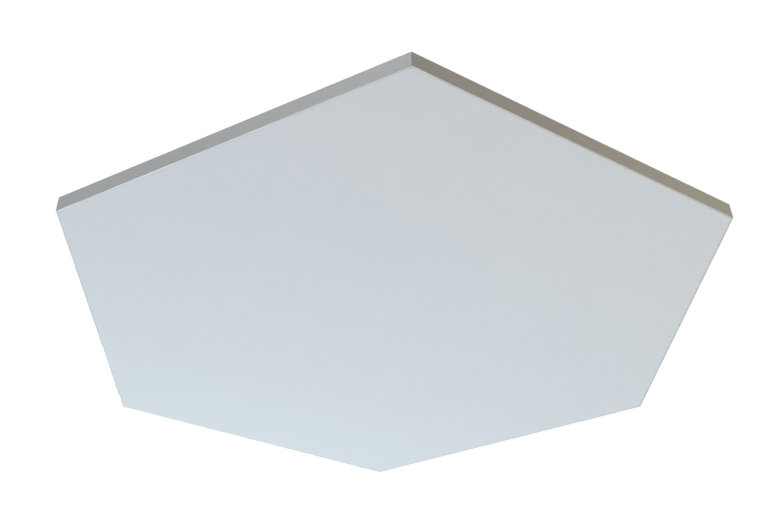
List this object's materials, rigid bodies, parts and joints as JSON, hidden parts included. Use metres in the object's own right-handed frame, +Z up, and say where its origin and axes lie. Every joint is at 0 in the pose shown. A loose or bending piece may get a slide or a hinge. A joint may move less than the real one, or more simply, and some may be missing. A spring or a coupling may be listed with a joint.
{
  "type": "hexagonal acoustic panel",
  "caption": "Hexagonal acoustic ceiling panel: mitred aluminium frame, stretched textile face, absorber boards on inner ledges, and swinging hanging rings on the back.",
  "frame": {"origin": "centre of the frame's back plane, where the suspension's load line passes", "axes": "+Z up to the ceiling, the textile face points to -Z, +Y towards a corner of the hexagon, +X out through a side"},
  "size_m": [1.0392, 1.1998, 0.0358],
  "materials": {
    "frame_aluminium": "satin anodised, light warm grey",
    "inner_aluminium": "mill finish, with fine drawing lines",
    "zinc_steel": "bright zinc plate",
    "black_steel": "black oxide",
    "silicone": "matt translucent grey silicone",
    "textile": "matt pale cool grey-white, close woven",
    "absorber": "mineral fibre with a pale back tissue"
  },
  "bodies": {
    "panel": {"frame_rail_1": "frame_aluminium", "frame_rail_2": "frame_aluminium", "frame_rail_3": "frame_aluminium", "frame_rail_4": "frame_aluminium", "frame_rail_5": "frame_aluminium", "frame_rail_6": "frame_aluminium", "corner_cleat_1": "inner_aluminium", "corner_cleat_2": "inner_aluminium", "corner_cleat_3": "inner_aluminium", "corner_cleat_4": "inner_aluminium", "corner_cleat_5": "inner_aluminium", "corner_cleat_6": "inner_aluminium", "cleat_screw_1a": "black_steel", "cleat_screw_1b": "black_steel", "cleat_screw_2a": "black_steel", "cleat_screw_2b": "black_steel", "cleat_screw_3a": "black_steel", "cleat_screw_3b": "black_steel", "cleat_screw_4a": "black_steel", "cleat_screw_4b": "black_steel", "cleat_screw_5a": "black_steel", "cleat_screw_5b": "black_steel", "cleat_screw_6a": "black_steel", "cleat_screw_6b": "black_steel", "keder_strip_1": "silicone", "keder_strip_2": "silicone", "keder_strip_3": "silicone", "keder_strip_4": "silicone", "keder_strip_5": "silicone", "keder_strip_6": "silicone", "face_textile": "textile", "absorber_board_1": "absorber", "absorber_board_2": "absorber", "cross_bar": "inner_aluminium", "bar_bracket_1": "inner_aluminium", "bracket_rail_screw_1": "zinc_steel", "bracket_web_screw_1": "zinc_steel", "bar_bracket_2": "inner_aluminium", "bracket_rail_screw_2": "zinc_steel", "bracket_web_screw_2": "zinc_steel", "hanger_plate_1": "zinc_steel", "hanger_screw_1a": "zinc_steel", "hanger_screw_1b": "zinc_steel", "hanger_plate_2": "zinc_steel", "hanger_screw_2a": "zinc_steel", "hanger_screw_2b": "zinc_steel", "hanger_plate_3": "zinc_steel", "hanger_screw_3a": "zinc_steel", "hanger_screw_3b": "zinc_steel"},
    "hanger_ring_1": {"hanger_ring_1": "zinc_steel"},
    "hanger_ring_2": {"hanger_ring_2": "zinc_steel"},
    "hanger_ring_3": {"hanger_ring_3": "zinc_steel"}
  },
  "joints": [
    {"name": "ring_1_swing", "type": "hinge", "parent": "panel", "child": "hanger_ring_1", "pos_m": [0.24981, 0.43268, 0.0041], "axis": [-0.866, 0.5, 0], "range_deg": [0, 189]},
    {"name": "ring_2_swing", "type": "hinge", "parent": "panel", "child": "hanger_ring_2", "pos_m": [-0.49962, 0, 0.0041], "axis": [0, -1, 0], "range_deg": [0, 189]},
    {"name": "ring_3_swing", "type": "hinge", "parent": "panel", "child": "hanger_ring_3", "pos_m": [0.24981, -0.43268, 0.0041], "axis": [0.866, 0.5, 0], "range_deg": [0, 189]}
  ]
}
